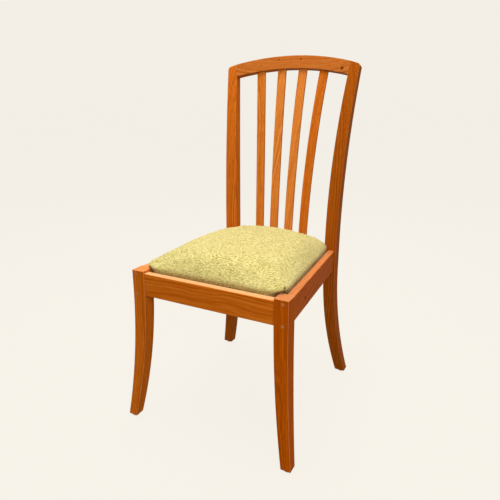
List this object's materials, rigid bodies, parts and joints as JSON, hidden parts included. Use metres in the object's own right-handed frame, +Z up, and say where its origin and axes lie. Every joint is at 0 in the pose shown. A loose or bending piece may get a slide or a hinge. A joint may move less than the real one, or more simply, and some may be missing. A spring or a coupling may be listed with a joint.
{
  "type": "dining side chair",
  "caption": "Wooden dining side chair with swept legs, a fan of bent slats under an arched crest rail, and a loose upholstered seat that drops into the frame.",
  "frame": {"origin": "on the floor, under the middle of the chair's box", "axes": "+Z up, the chair faces -Y, +X to the viewer's right when looking at its front"},
  "size_m": [0.504, 0.5696, 0.9971],
  "materials": {
    "cherry": "satin clear finish",
    "block_wood": "unfinished",
    "peg_wood": "end grain, satin",
    "screw_steel": "zinc plated",
    "glide": "smooth",
    "plywood": "sanded",
    "foam": "open-cell foam",
    "seat_cloth": "woven chenille",
    "dust_cloth": "non-woven"
  },
  "bodies": {
    "frame": {"rear_post_right": "cherry", "rear_post_left": "cherry", "front_leg_right": "cherry", "front_leg_left": "cherry", "front_rail": "cherry", "side_rail_right": "cherry", "side_rail_left": "cherry", "rear_rail": "cherry", "crest_rail": "cherry", "back_slat_1": "cherry", "back_slat_2": "cherry", "back_slat_3": "cherry", "back_slat_4": "cherry", "corner_block_front_right": "block_wood", "corner_block_front_left": "block_wood", "corner_block_rear_right": "block_wood", "corner_block_rear_left": "block_wood", "joint_pegs": "peg_wood", "corner_block_screws": "screw_steel", "foot_glides": "glide"},
    "drop_in_seat": {"seat_board": "plywood", "seat_foam": "foam", "seat_cover": "seat_cloth", "dust_cover": "dust_cloth"}
  },
  "joints": [
    {"name": "seat_lift", "type": "slide", "parent": "frame", "child": "drop_in_seat", "axis": [0, 0, 1], "range_m": [0, 0.1]}
  ]
}
